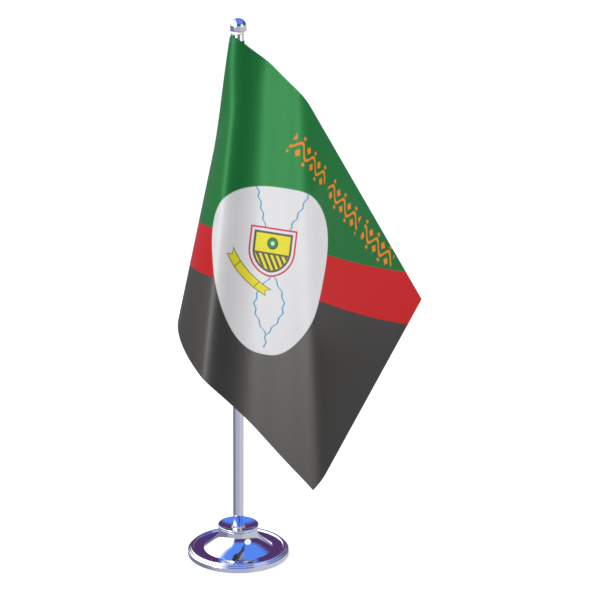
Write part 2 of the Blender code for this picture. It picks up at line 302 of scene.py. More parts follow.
def chrome():
    """Mirror chrome with faint wiping smears in its gloss."""
    made, tree, shader = finish("chrome_plate", Metallic=1.0)
    place = object_place(tree)
    cloud = noise_at(tree, place, 90.0, 3.0)
    smears = noise_at(tree, place, 700.0, 2.0, (1.0, 1.0, 0.15))
    shade = layered(tree, srgb(238, 240, 247), srgb(225, 227, 238), cloud)
    tree.links.new(shade, shader.inputs["Base Color"])
    roughness = (cloud * 0.03 + smears * 0.02) + 0.015
    tree.links.new(roughness.socket, shader.inputs["Roughness"])
    return made


def cast_iron():
    made, tree, shader = finish("cast_iron", Metallic=0.6)
    place = object_place(tree)
    grain = noise_at(tree, place, 900.0, 5.0)
    shade = layered(tree, srgb(52, 50, 50), srgb(88, 82, 78), grain)
    tree.links.new(shade, shader.inputs["Base Color"])
    tree.links.new((grain * 0.25 + 0.55).socket, shader.inputs["Roughness"])
    tree.links.new(bumped(tree, grain, 0.3 * MM, 0.8), shader.inputs["Normal"])
    return made


def zinc_steel():
    made, tree, shader = finish("zinc_steel", Metallic=1.0)
    place = object_place(tree)
    bloom = noise_at(tree, place, 260.0, 4.0)
    shade = layered(tree, srgb(196, 198, 200), srgb(168, 172, 178), bloom)
    tree.links.new(shade, shader.inputs["Base Color"])
    tree.links.new((bloom * 0.2 + 0.24).socket, shader.inputs["Roughness"])
    return made


def nylon():
    made, tree, shader = finish("natural_nylon", Subsurface_Weight=0.1, Subsurface_Scale=1.0 * MM)
    place = object_place(tree)
    cloud = noise_at(tree, place, 400.0, 3.0)
    shade = layered(tree, srgb(236, 233, 222), srgb(222, 218, 204), cloud)
    tree.links.new(shade, shader.inputs["Base Color"])
    tree.links.new((cloud * 0.15 + 0.36).socket, shader.inputs["Roughness"])
    return made


def black_lacquer():
    made, tree, shader = finish("black_lacquer", Coat_Weight=0.3)
    place = object_place(tree)
    peel = noise_at(tree, place, 1200.0, 2.0)
    shade = layered(tree, srgb(24, 24, 26), srgb(34, 34, 37), peel)
    tree.links.new(shade, shader.inputs["Base Color"])
    tree.links.new((peel * 0.15 + 0.4).socket, shader.inputs["Roughness"])
    tree.links.new(bumped(tree, peel, 0.02 * MM, 0.4), shader.inputs["Normal"])
    return made


def felt():
    made, tree, shader = finish("green_felt", Sheen_Weight=0.6, Sheen_Roughness=0.5, Roughness=0.95)
    place = object_place(tree)
    fibres = noise_at(tree, place, 2600.0, 4.0, (1.0, 0.35, 1.0))
    tufts = noise_at(tree, place, 500.0, 3.0)
    shade = layered(tree, srgb(20, 48, 36), srgb(42, 78, 60), fibres * 0.6 + tufts * 0.4)
    tree.links.new(shade, shader.inputs["Base Color"])
    tree.links.new(bumped(tree, fibres, 0.15 * MM, 0.9), shader.inputs["Normal"])
    return made


# ---------------------------------------------------------------- the flag's print

# All in millimetres on the flat cloth. The artwork lies askew on it: `right` runs along the bands,
# `up` across them towards the top of the hoist, both from the middle of the shield.
ART_CENTRE = (91.5, 72.0)
ART_TURN = math.radians(35.5)
PRINT_EDGE = 0.22

GREEN = srgb(12, 80, 35)
RED = srgb(152, 10, 14)
DARK = srgb(37, 36, 34)
WHITE = srgb(172, 172, 174)
CRIMSON = srgb(160, 8, 50)
INK = srgb(10, 9, 8)
YELLOW = srgb(176, 168, 34)
ORANGE = srgb(182, 100, 12)
BLUE = srgb(46, 118, 148)
MID_GREEN = srgb(8, 98, 40)

# The bands bow a little, as satin pulled on the bias does
BAND_BOW = 0.00077
BAND_BOW_CENTRE = 33.0
RED_LOW = -22.0
RED_HIGH = 3.6

FIELD_CENTRE = (2.0, -11.5)
FIELD_HALF = (34.0, 45.0)
FIELD_TAPER = 0.33
FIELD_SQUARENESS = 2.6

SHIELD_HALF = 13.6
SHIELD_TOP = 11.8
SHIELD_DROP = 14.6
SHIELD_RIM = 0.9
SHIELD_GAP = 2.3
SHIELD_OUTLINE = 1.2
SHIELD_SPLIT = -2.2
SHIELD_BAR_HALF = 0.5
STRIPE_PERIOD = 3.4
STRIPE_HALF = 0.85
STRIPE_SLANT = 0.6
ROUNDEL_UP = 3.4
ROUNDEL_RADII = ((3.3, INK), (2.6, MID_GREEN), (1.1, WHITE))

RIBBON_CENTRE = (-12.5, -14.6)
RIBBON_TURN = math.radians(-40.0)
RIBBON_HALF = (13.5, 2.5)
RIBBON_BOW = 0.012
RIBBON_SAG = 1.0
RIBBON_FORK = 0.9
RIBBON_OUTLINE = 0.4
RIBBON_FOLD = 7.6
RIBBON_FOLD_HALF = 0.2

WAVE_LINE = 0.42
WAVE_LENS = (-46.0, -13.0)
WAVE_LENS_RIGHT = 2.0
WAVE_TAIL = -53.0
WAVE_SWELL = 8.5
WAVE_RIPPLE = 0.5
WAVE_RATE = 1.1
# The two strokes above the shield: how far right they are at STROKE_LEVEL, and their lean
STROKE_LEVEL = 10.0
STROKE_FOOT = 8.0
WAVE_STROKES = ((8.0, 0.45), (-5.0, -0.35))

VINE_START = (58.0, 21.5)
VINE_SLOPE = math.atan(-17.0 / 109.0)
VINE_BOW = 0.0011
VINE_MIDDLE = 55.0
VINE_GROUPS = ((20.0, 17.0), (58.0, 17.0), (95.0, 15.0))
VINE_PERIOD = 12.0
VINE_SWING = 2.9
VINE_STEM = 0.9
VINE_LEAF = 1.4
VINE_LEAF_SLOPES = (0.75, 0.6)
VINE_DOT = 1.0


def inside(distance):
    """1 where a signed distance in millimetres is below zero, 0 where it is above, soft between."""
    return -distance.ramp(-PRINT_EDGE, PRINT_EDGE) + 1.0


def turned_to(x, y, centre, angle):
    """Coordinates about a centre, turned by an angle."""
    dx, dy = x - centre[0], y - centre[1]
    return (
        dx * math.cos(angle) + dy * math.sin(angle),
        dy * math.cos(angle) - dx * math.sin(angle),
    )


def field_distance(right, up):
    """The white field: an egg with its broad end up."""
    share = (up - FIELD_CENTRE[1]) / FIELD_HALF[1]
    half = (share * FIELD_TAPER + 1.0) * FIELD_HALF[0]
    across = ((right - FIELD_CENTRE[0]) / half).magnitude().power(FIELD_SQUARENESS)
    along = share.magnitude().power(FIELD_SQUARENESS)
    return ((across + along).power(1.0 / FIELD_SQUARENESS) - 1.0) * FIELD_HALF[0]


def shield_distance(right, up):
    """A plain heater shield: a straight top and two arcs that meet in a point."""
    arc_r = (SHIELD_HALF**2 + SHIELD_DROP**2) / (2.0 * SHIELD_HALF)
    flank = length_of(right.magnitude() + (arc_r - SHIELD_HALF), up.least(0.0)) - arc_r
    return flank.most(up - SHIELD_TOP)


def paint_shield(tree, colour, right, up):
    """A ringed shield, divided level: a plain upper part with a roundel, a striped lower part."""
    outer = shield_distance(right, up)
    colour = layered(tree, colour, CRIMSON, inside(outer))
    colour = layered(tree, colour, WHITE, inside(outer + SHIELD_RIM))
    colour = layered(tree, colour, INK, inside(outer + SHIELD_GAP))
    within = inside(outer + SHIELD_GAP + SHIELD_OUTLINE)
    colour = layered(tree, colour, YELLOW, within)
    below = inside(up - SHIELD_SPLIT) * within
    stripes = (right + up * STRIPE_SLANT).wrapped(STRIPE_PERIOD).magnitude() - STRIPE_HALF
    colour = layered(tree, colour, INK, inside(stripes) * below)
    bar = (up - SHIELD_SPLIT).magnitude() - SHIELD_BAR_HALF
    colour = layered(tree, colour, INK, inside(bar) * within)
    roundel = length_of(right, up - ROUNDEL_UP)
    for radius, shade in ROUNDEL_RADII:
        colour = layered(tree, colour, shade, inside(roundel - radius))
    return colour


def paint_ribbon(tree, colour, right, up):
    """A blank ribbon, bowed, with forked ends and two folds."""
    along, across = turned_to(right, up, RIBBON_CENTRE, RIBBON_TURN)
    across = across - along * along * RIBBON_BOW + RIBBON_SAG
    reach = along.magnitude()
    side = across.magnitude() - RIBBON_HALF[1]
    fork = reach - RIBBON_HALF[0] - side * RIBBON_FORK
    distance = side.most(fork - RIBBON_HALF[1] * RIBBON_FORK)
    colour = layered(tree, colour, INK, inside(distance))
    colour = layered(tree, colour, YELLOW, inside(distance + RIBBON_OUTLINE))
    fold = (reach - RIBBON_FOLD).magnitude() - RIBBON_FOLD_HALF
    return layered(tree, colour, INK, inside(fold) * inside(side))


def paint_waves(tree, colour, right, up, field):
    """Thin wavy lines on the white field: a lens below the shield and two strokes above it."""
    low, high = WAVE_LENS
    ripple = (up * WAVE_RATE).sine() * WAVE_RIPPLE
    swell = ((up - low) * (math.pi / (high - low))).sine().most(0.0) * WAVE_SWELL
    lens = ((right - ripple - WAVE_LENS_RIGHT).magnitude() - swell).magnitude() - WAVE_LINE
    in_lens = inside(up - high) * inside(-up + WAVE_TAIL)
    colour = layered(tree, colour, BLUE, inside(lens) * in_lens * field)
    for start, lean in WAVE_STROKES:
        stroke = (right - ripple - start - (up - STROKE_LEVEL) * lean).magnitude() - WAVE_LINE
        colour = layered(tree, colour, BLUE, inside(stroke) * inside(-up + STROKE_FOOT) * field)
    return colour


def paint_vine(tree, colour, u, v):
    """An orange running vine below the top edge: a waving stem with a lozenge leaf in each bay."""
    along, across = turned_to(u, v, VINE_START, VINE_SLOPE)
    off_middle = along - VINE_MIDDLE
    across = across - (-(off_middle * off_middle) + VINE_MIDDLE**2) * VINE_BOW
    phase = along * (2.0 * math.pi / VINE_PERIOD)
    stem = (across - phase.sine() * VINE_SWING).magnitude() - VINE_STEM
    bay = (along - VINE_PERIOD / 4.0).wrapped(VINE_PERIOD / 2.0).magnitude()
    bulge_side = across * phase.sine().sign()
    slope_along, slope_across = VINE_LEAF_SLOPES
    leaf = bay * slope_along + (bulge_side + VINE_SWING).magnitude() * slope_across - VINE_LEAF
    dot = length_of(bay, bulge_side - VINE_SWING * 2.0) - VINE_DOT
    shape = inside(stem).most(inside(leaf)).most(inside(dot))
    shown = None
    for middle, half in VINE_GROUPS:
        group = inside((along - middle).magnitude() - half)
        shown = group if shown is None else shown.most(group)
    return layered(tree, colour, ORANGE, shape * shown)


def printed(tree, u, v):
    """The colour of the print at a place on the flat cloth, in millimetres."""
    dx, dy = u - ART_CENTRE[0], v - ART_CENTRE[1]
    right = dx * math.cos(ART_TURN) - dy * math.sin(ART_TURN)
    up = -(dx * math.sin(ART_TURN) + dy * math.cos(ART_TURN))
    off_centre = right - BAND_BOW_CENTRE
    level = up - off_centre * off_centre * BAND_BOW
    colour = layered(tree, DARK, RED, inside(-level + RED_LOW))
    colour = layered(tree, colour, GREEN, inside(-level + RED_HIGH))
    field = inside(field_distance(right, up))
    colour = layered(tree, colour, WHITE, field)
    colour = paint_waves(tree, colour, right, up, field)
    colour = paint_ribbon(tree, colour, right, up)
    colour = paint_shield(tree, colour, right, up)
    return paint_vine(tree, colour, u, v)


def pure_hue(tree, colour):
    """A colour scaled until its strongest part is 1: the tint of light that glances off dyed thread."""
    parts = tree.nodes.new("ShaderNodeSeparateColor")
    tree.links.new(colour, parts.inputs["Color"])
    red, green, blue = (Number(tree, parts.outputs[k]) for k in range(3))
    strongest = red.most(green).most(blue).most(0.001)
    joined = tree.nodes.new("ShaderNodeCombineColor")
    for part, socket in zip((red, green, blue), joined.inputs):
        tree.links.new((part / strongest).socket, socket)
    return joined.outputs["Color"]


def satin(name, fade):
    """Printed satin, faded towards white by a share. Its shine takes the tint of the print."""
    made, tree, shader = finish(name, Specular_IOR_Level=0.42, Sheen_Weight=0.02, Sheen_Roughness=0.35)
    u, v, place = named_vector(tree, "flat_place")
    colour = printed(tree, u / MM, v / MM)
    threads = noise_at(tree, place, 3500.0, 2.0, (0.12, 1.0, 1.0))
    slubs = noise_at(tree, place, 120.0, 3.0, (1.0, 0.3, 1.0))
    colour = layered(tree, colour, srgb(8, 8, 8), threads * 0.12 + slubs * 0.08)
    colour = layered(tree, colour, srgb(255, 255, 255), fade)
    tree.links.new(colour, shader.inputs["Base Color"])
    tint = layered(tree, pure_hue(tree, colour), srgb(255, 255, 255), 0.25)
    tree.links.new(tint, shader.inputs["Specular Tint"])
    tree.links.new((threads * 0.1 + 0.42).socket, shader.inputs["Roughness"])
    return made


# ---------------------------------------------------------------- mesh helpers


def add_piece(name, points, faces, finishes, smooth_angle=35.0):
    """A mesh object with its materials, smooth but for edges sharper than smooth_angle degrees."""
    mesh = bpy.data.meshes.new(name)
    mesh.from_pydata([tuple(p) for p in points], [], [tuple(f) for f in faces])
    mesh.validate()
    mesh.shade_smooth()
    mesh.set_sharp_from_angle(angle=math.radians(smooth_angle))
    obj = bpy.data.objects.new(name, mesh)
    for made in finishes:
        mesh.materials.append(made)
    bpy.context.scene.collection.objects.link(obj)
    return obj


def rounded(corners, steps=ARC_STEPS):
    """A profile from (r, z, radius) corners: each corner with a radius becomes an arc of that radius."""
    points = []
    count = len(corners)
    for i, (r, z, radius) in enumerate(corners):
        here = Vector((r, z))
        if radius == 0.0:
            points.append((r, z))
            continue
        before = Vector(corners[i - 1][:2]) - here
        after = Vector(corners[(i + 1) % count][:2]) - here
        half = before.angle(after) / 2.0
        reach = radius / math.tan(half)
        centre = here + (before.normalized() + after.normalized()).normalized() * radius / math.sin(half)
        start = here + before.normalized() * reach - centre
        end = here + after.normalized() * reach - centre
        sweep = start.angle_signed(end)
        for step in range(steps + 1):
            turn = Matrix.Rotation(-sweep * step / steps, 2)
            points.append(tuple(centre + turn @ start))
    return points


def turned(name, profile, made, steps=ROUND_STEPS):
    """A closed (r, z) profile turned about the Z axis. Points at r = 0 lie on the axis."""
    points = []
    rings = []
    for r, z in profile:
        if r == 0.0:
            rings.append([len(points)] * steps)
            points.append((0.0, 0.0, z))
            continue
        rings.append(list(range(len(points), len(points) + steps)))
        for k in range(steps):
            angle = 2.0 * math.pi * k / steps
            points.append((r * math.cos(angle), r * math.sin(angle), z))
    faces = []
    for ring, following in zip(rings, rings[1:] + rings[:1]):
        for k in range(steps):
            after = (k + 1) % steps
            corners = list(dict.fromkeys([ring[k], following[k], following[after], ring[after]]))
            if len(corners) > 2:
                faces.append(corners)
    return add_piece(name, points, faces, [made])


def stands_for(piece, node, body):
    """Hides the CAD node that a piece replaces, and hangs the piece on the body it moves with."""
    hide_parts(node)
    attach(piece, body)


# ---------------------------------------------------------------- base


def bell_flank(inset):
    """The bell's flank from the neck down to its foot, moved inwards by inset."""
    top = Vector((NECK_R, NECK_Z))
    foot = Vector((BELL_FOOT_R, FLANGE_Z))
    drop = NECK_Z - FLANGE_Z
    pull_top = top - Vector((0.0, FLANK_PULL_TOP * drop))
    pull_foot = foot - Vector((FLANK_PULL_FOOT[0] * (BELL_FOOT_R - NECK_R), -FLANK_PULL_FOOT[1] * drop))
    points = []
    for step in range(FLANK_STEPS + 1):
        t = step / FLANK_STEPS
        s = 1.0 - t
        place = s**3 * top + 3 * s * s * t * pull_top + 3 * s * t * t * pull_foot + t**3 * foot
        along = s * s * (pull_top - top) + 2 * s * t * (pull_foot - pull_top)
        along += t * t * (foot - pull_foot)
        inwards = Vector((along.y, -along.x)).normalized()
        points.append(place + inwards * inset)
    return points


def build_shell(metal):
    """The spun shell with its stepped rim, and a small fillet where the bell meets the flange."""
    low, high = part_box("base_shell")
    foot_r = high.x
    lift = low.z
    bead_out = foot_r - 2.0 * RIM_STEP
    bead_in = bead_out - RIM_BEAD
    rim_top = FLANGE_Z + RIM_STEP
    inner_r = foot_r - SHELL_WALL - RIM_STEP
    flange_under = FLANGE_Z - SHELL_WALL
    outside = [(p.x, p.y) for p in bell_flank(0.0)][:-1]
    outside += rounded(
        [
            (outside[-1][0], outside[-1][1], 0.0),
            (BELL_FOOT_R, FLANGE_Z, 0.25 * MM),
            (bead_in, FLANGE_Z, 0.25 * MM),
            (bead_in, rim_top, 0.35 * MM),
            (bead_out, rim_top, 0.4 * MM),
            (bead_out, rim_top - RIM_STEP, 0.12 * MM),
            (foot_r - RIM_STEP, rim_top - RIM_STEP, 0.3 * MM),
            (foot_r - RIM_STEP, rim_top - 2.0 * RIM_STEP, 0.12 * MM),
            (foot_r, rim_top - 2.0 * RIM_STEP, 0.4 * MM),
            (foot_r, lift, 0.3 * MM),
            (inner_r, lift, 0.0),
        ]
    )[1:]
    inside_wall = [(inner_r, flange_under)]
    inside_wall += [(p.x, p.y) for p in reversed(bell_flank(SHELL_WALL)) if p.y > flange_under]
    shell = turned("bell_shell", outside + inside_wall, metal)
    stands_for(shell, "base_shell", "base")


def dish_z(r, cup_r, cup_top):
    """Height of the cup's concave dish at radius r."""
    rim_r = cup_r - DISH_LIP
    arc_r = (rim_r**2 + DISH_DEPTH**2) / (2.0 * DISH_DEPTH)
    return cup_top - DISH_DEPTH + arc_r - math.sqrt(arc_r**2 - r**2)


def build_cup(metal):
    """The dished cup with its shank, in which the socket is bored for the liner."""
    low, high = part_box("socket_cup")
    liner_low, liner_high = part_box("socket_bush")
    cup_r = high.x
    cup_top = high.z
    cup_bottom = cup_top - CUP_LIP_H
    socket_r = liner_high.x + SNUG_GAP
    floor_z = liner_low.z - BUSH_FLOOR_GAP
    spigot_r = NECK_R - SHELL_WALL - SNUG_GAP
    rim_r = cup_r - DISH_LIP
    dish_rs = [rim_r + (socket_r - rim_r) * k / DISH_STEPS for k in range(1, DISH_STEPS + 1)]
    outside = rounded(
        [
            (0.0, low.z, 0.0),
            (SHANK_R, low.z, 0.5 * MM),
            (SHANK_R, NECK_Z - SPIGOT_H, 0.0),
            (spigot_r, NECK_Z - SPIGOT_H, 0.3 * MM),
            (spigot_r, cup_bottom, 0.1 * MM),
            (cup_r, cup_bottom, 0.7 * MM),
            (cup_r, cup_top, 0.35 * MM),
            (rim_r, cup_top, 0.2 * MM),
            (dish_rs[0], dish_z(dish_rs[0], cup_r, cup_top), 0.0),
        ]
    )
    dish = [(r, dish_z(r, cup_r, cup_top)) for r in dish_rs[1:]]
    floor = [(socket_r, floor_z), (0.0, floor_z)]
    cup = turned("dished_cup", outside + dish + floor, metal)
    stands_for(cup, "socket_cup", "base")


def build_liner(made):
    """The nylon liner of the socket, with a small lead-in at its mouth."""
    low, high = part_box("socket_bush")
    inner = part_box("pole_foot_plug")[1].x + SNUG_GAP
    corners = [
        (inner, low.z, 0.1 * MM),
        (high.x, low.z, 0.1 * MM),
        (high.x, high.z, 0.1 * MM),
        (inner, high.z, 0.35 * MM),
    ]
    liner = turned("socket_liner", rounded(corners, 4), made, SMALL_ROUND_STEPS)
    stands_for(liner, "socket_bush", "base")


def build_felt(made):
    """The felt sole: a soft-edged disc with a fibrous, slightly wavy edge."""
    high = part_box("felt_pad")[1]
    corners = [
        (0.0, 0.0, 0.0),
        (high.x, 0.0, 0.25 * MM),
        (high.x, high.z, 0.35 * MM),
        (0.0, high.z, 0.0),
    ]
    sole = turned("felt_sole", rounded(corners), made, FELT_STEPS)
    for vertex in sole.data.vertices:
        r = math.hypot(vertex.co.x, vertex.co.y)
        if r > high.x - FELT_FRAYED_W:
            fuzz = noise.noise(vertex.co * FELT_BUMPS) * FELT_FRAY - FELT_SHRINK
            vertex.co.x *= (r + fuzz) / r
            vertex.co.y *= (r + fuzz) / r
    stands_for(sole, "felt_pad", "base")


# ---------------------------------------------------------------- pole and finial


def build_pole(metal, plastic):
    """The chromed tube with softly rounded ends, and its two plugs."""
    low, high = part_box("pole_tube")
    corners = [
        (high.x - TUBE_WALL, low.z, TUBE_EDGE),
        (high.x, low.z, TUBE_EDGE),
        (high.x, high.z, TUBE_EDGE),
        (high.x - TUBE_WALL, high.z, TUBE_EDGE),
    ]
    shaft = turned("pole_shaft", rounded(corners, 3), metal, SMALL_ROUND_STEPS)
    stands_for(shaft, "pole_tube", "pole")
    build_plug("foot_plug", "pole_foot_plug", "foot", plastic, True)
    build_plug("top_plug", "pole_top_plug", "pole", plastic, False)


def build_plug(name, node, body, plastic, head_down):
    """A push-in plug: a thin head as wide as the pole and a ribbed body inside the tube."""
    low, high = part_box(node)
    body_r = high.x - TUBE_WALL - SNUG_GAP
    if head_down:
        bore, way = 0.0, 1.0
        head_outer, tip = low.z, high.z
    else:
        bore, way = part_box("finial_pin")[1].x + SNUG_GAP, -1.0
        head_outer, tip = high.z, low.z
    head_inner = head_outer + way * PLUG_HEAD_T
    profile = rounded(
        [
            (bore, head_outer, 0.0),
            (high.x, head_outer, 0.25 * MM),
            (high.x, head_inner, 0.1 * MM),
            (body_r, head_inner, 0.0),
        ]
    )
    span = (tip - head_inner - way * 1.5 * MM) / PLUG_RIBS
    for k in range(PLUG_RIBS):
        start = head_inner + way * PLUG_CHAMFER + span * k
        profile += [
            (body_r, start + span * 0.55),
            (body_r - PLUG_GROOVE, start + span * 0.62),
            (body_r - PLUG_GROOVE, start + span * 0.9),
            (body_r, start + span * 0.97),
        ]
    profile += [(body_r, tip - way * PLUG_CHAMFER), (body_r - PLUG_CHAMFER, tip), (bore, tip)]
    if not head_down:
        profile = list(reversed(profile))
    plug = turned(name, list(dict.fromkeys(profile)), plastic, SMALL_ROUND_STEPS)
    stands_for(plug, node, body)


def build_finial(metal):
    """The domed cap, with a thin groove above its bottom edge."""
    low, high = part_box("finial_cap")
    r = high.x
    pin_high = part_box("finial_pin")[1]
    bore = pin_high.x + SNUG_GAP
    shoulder = high.z - r
    groove_z = low.z + CAP_GROOVE_RISE
    skirt = rounded([(bore, low.z, 0.0), (r, low.z, 0.3 * MM), (r, shoulder, 0.0)])[:-1]
    groove = [
        (r, groove_z - CAP_GROOVE_MOUTH),
        (r - CAP_GROOVE_DEPTH, groove_z - CAP_GROOVE_BED),
        (r - CAP_GROOVE_DEPTH, groove_z + CAP_GROOVE_BED),
        (r, groove_z + CAP_GROOVE_MOUTH),
    ]
    dome = []
    for k in range(DOME_STEPS):
        rise = math.pi / 2.0 * k / DOME_STEPS
        dome.append((r * math.cos(rise), shoulder + r * math.sin(rise)))
    bore_top = pin_high.z + PIN_HEADROOM
    profile = skirt + groove + dome + [(0.0, high.z), (0.0, bore_top), (bore, bore_top)]
    cap = turned("finial_dome", profile, metal, SMALL_ROUND_STEPS)
    stands_for(cap, "finial_cap", "finial")


# ---------------------------------------------------------------- flag


def turn_at(turns, share):
    """Turning rate at a share of a stretch, in radians: straight lines between the even steps."""
    return math.radians(np.interp(share, np.linspace(0.0, 1.0, len(turns)), turns))


def flag_rulings():
    """The straight lines that the hanging cloth bends along: the CAD's, but for the eased last bend.

    Each has its start on the top edge, its direction down the cloth, the angle between it and the hoist
    on the flat cloth, and the distance of its start from the hoist.
    """
    down = Vector((0.0, 0.0, -1.0))
    heading = math.radians(HOIST_HEADING)
    across = Vector((math.cos(heading), math.sin(heading), 0.0))
    start = Vector((0.0, 0.0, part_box("flag_cloth")[1].z))
    angle = 0.0
    edge = 0.0
    rulings = [(start.copy(), down.copy(), angle, edge)]
    fold, hang = math.radians(FOLD_ANGLE), math.radians(HANG_ANGLE)
    stretches = (
        (fold, 0.0, FOLD_TURNS),
        (hang - fold, DRAPE_RUN, DRAPE_TURNS),
        (0.0, EASE_RUN, EASE_TURNS),
        (0.0, FLAG_W - DRAPE_RUN - EASE_RUN, (0, 0)),
    )
    for fan, run, turns in stretches:
        for step in range(RULING_STEPS):
            bend = turn_at(turns, (step + 0.5) / RULING_STEPS) / RULING_STEPS
            across.rotate(Matrix.Rotation(bend / 2.0, 3, -down))
            middle = angle + fan / RULING_STEPS / 2.0
            start += (down * math.sin(middle) + across * math.cos(middle)) * run / RULING_STEPS
            within = Matrix.Rotation(fan / RULING_STEPS, 3, down.cross(across))
            down.rotate(within)
            across.rotate(within)
            across.rotate(Matrix.Rotation(bend / 2.0, 3, -down))
            angle += fan / RULING_STEPS
            edge += run / RULING_STEPS
            rulings.append((start.copy(), down.copy(), angle, edge))
    return rulings


def hanging_cloth(columns, rows):
    """Points of the hanging cloth, one row for each distance below the top edge."""
    rulings = flag_rulings()
    starts = np.array([start for start, _, _, _ in rulings])
    downs = np.array([down for _, down, _, _ in rulings])
    angles = np.array([angle for _, _, angle, _ in rulings])
    edges = np.array([edge for _, _, _, edge in rulings])
    share = np.minimum(columns / SEAM_REACH, 1.0)
    near_seam = 1.0 - share * share * (3.0 - 2.0 * share)
    seam = math.radians(SEAM_HEADING)
    grid = np.zeros((len(rows), len(columns), 3))
    for k, v in enumerate(rows):
        reached = edges + v * np.tan(angles)
        places = starts + downs * (v / np.cos(angles))[:, None]
        for axis in range(3):
            grid[k, :, axis] = np.interp(columns, reached, places[:, axis])
        grid[k, :, 0] += HOIST_KEEP_OUT * near_seam * math.cos(seam)
        grid[k, :, 1] += HOIST_KEEP_OUT * near_seam * math.sin(seam)
    distance = np.hypot(grid[:, :, 0], grid[:, :, 1])
    pushed = (distance**4 + HOIST_KEEP_OUT**4) ** 0.25
    pushed[:, 0] = HOIST_KEEP_OUT
    grid[:, :, 0] *= pushed / distance
    grid[:, :, 1] *= pushed / distance
    return grid


def grid_normals(grid):
    """Unit normals of a grid of points, from its neighbours' places."""
    down = np.gradient(grid, axis=0)
    across = np.gradient(grid, axis=1)
    normals = np.cross(down, across)
    return normals / np.linalg.norm(normals, axis=2)[:, :, None]


def stations(length, hem_at_start):
    """Distances across the cloth: even steps, with a close pair of lines at each hem's inner edge."""
    count = round(length / CLOTH_STEP)
    even = [length * k / count for k in range(count + 1)]
    hems = [length - HEM_W] + ([HEM_W] if hem_at_start else [])
    kept = [x for x in even if all(abs(x - hem) > HEM_SOFTNESS * 2.5 for hem in hems)]
    pairs = [hem + side * HEM_SOFTNESS for hem in hems for side in (-1.0, 0.0, 1.0)]
    return np.array(sorted(kept + pairs))


def hem_share(columns, rows):
    """1 on the turned-over hem along the top, fly and bottom edges, and 0 inside it."""
    from_edge = np.minimum(FLAG_W - columns[None, :], np.minimum(rows, FLAG_H - rows)[:, None])
    return np.clip((HEM_W + HEM_SOFTNESS - from_edge) / (2.0 * HEM_SOFTNESS), 0.0, 1.0)


def add_flat_place(obj, places):
    """Keeps each vertex's place on the flat cloth, which the print is read from."""
    attribute = obj.data.attributes.new("flat_place", "FLOAT_VECTOR", "POINT")
    attribute.data.foreach_set("vector", np.asarray(places, np.float32).ravel())


def build_flag(front, back):
    """The hanging flag: a printed face and a paler back, with a turned-over hem on the back."""
    columns = stations(FLAG_W, False)
    rows = stations(FLAG_H, True)
    middle = hanging_cloth(columns, rows)
    normals = grid_normals(middle)
    thick_back = CLOTH_T / 2.0 + HEM_T * hem_share(columns, rows)[:, :, None]
    near_side = middle + normals * CLOTH_T / 2.0
    far_side = middle - normals * thick_back
    height, width = len(rows), len(columns)
    points = np.concatenate([near_side.reshape(-1, 3), far_side.reshape(-1, 3)])
    index = np.arange(height * width).reshape(height, width)
    quads = np.stack([index[:-1, :-1], index[1:, :-1], index[1:, 1:], index[:-1, 1:]], -1).reshape(-1, 4)
    behind = quads[:, ::-1] + height * width
    border = [*index[0, :], *index[1:, -1], *index[-1, -2::-1], *index[-2:0:-1, 0]]
    rim = []
    for here, after in zip(border, border[1:] + border[:1]):
        rim.append((here, after, after + height * width, here + height * width))
    faces = [*map(tuple, quads), *map(tuple, behind), *rim]
    flag = add_piece("flag_satin", points, faces, [front, back], 60.0)
    sides = np.zeros(len(faces), np.int32)
    sides[len(quads) : len(quads) * 2] = 1
    flag.data.polygons.foreach_set("material_index", sides)
    flat = np.stack([*np.meshgrid(columns, rows), np.zeros((height, width))], -1).reshape(-1, 3)
    add_flat_place(flag, np.concatenate([flat, flat]))
    stands_for(flag, "flag_cloth", "flag")
    return flag


def hem_route():
    """A place on the flat cloth for each stitch of the hem: top edge, fly edge, bottom edge."""
    near, far = 2.0 * STITCH_INSET, FLAG_W - STITCH_INSET
    top, bottom = STITCH_INSET, FLAG_H - STITCH_INSET
    corners = [(near, top), (far, top), (far, bottom), (near, bottom)]
    route = []
    for start, end in zip(corners, corners[1:]):
        count = int(math.dist(start, end) / STITCH_PITCH)
        for k in range(count):
            share = k / count
            u = start[0] + (end[0] - start[0]) * share
            v = start[1] + (end[1] - start[1]) * share
            route.append((u, v))
    return route


